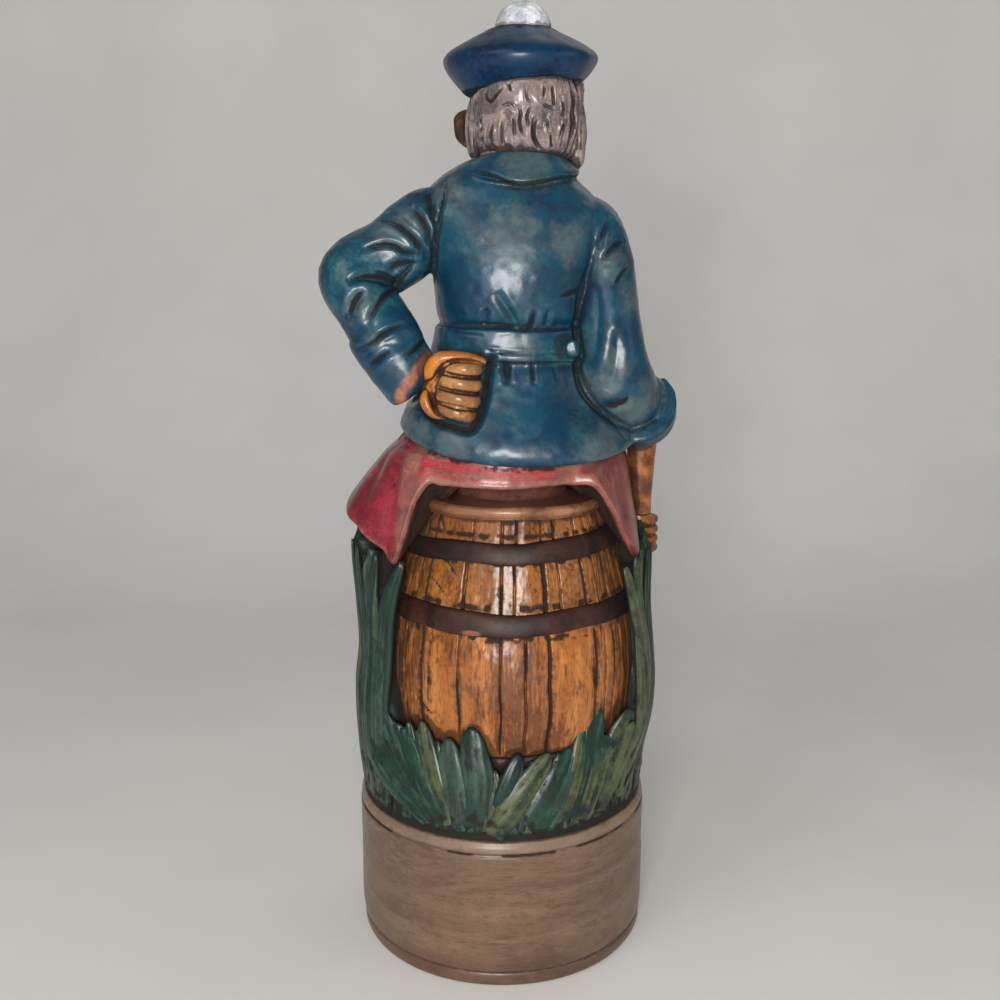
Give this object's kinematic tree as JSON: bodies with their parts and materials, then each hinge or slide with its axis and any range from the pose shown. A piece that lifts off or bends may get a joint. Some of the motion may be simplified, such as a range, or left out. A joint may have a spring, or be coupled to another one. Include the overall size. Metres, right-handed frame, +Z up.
{
  "type": "figural decanter",
  "caption": "Hand-painted ceramic decanter: an old man in a belted coat sits on a barrel among reeds, and the head with its flat cap lifts out as the stopper.",
  "frame": {"origin": "centre of the plinth's underside", "axes": "+Z up through the figure, +Y the way the figure faces, +X towards the figure's right hand"},
  "size_m": [0.1222, 0.107, 0.3319],
  "materials": {
    "decanter_body": "glossy hand-painted glaze over slip-cast ceramic, with a dark wash in the hollows",
    "head_stopper": "glossy hand-painted glaze over slip-cast ceramic, with a dark wash in the hollows"
  },
  "bodies": {
    "root": {"decanter_body": "decanter_body", "head_stopper": "head_stopper"}
  },
  "joints": []
}
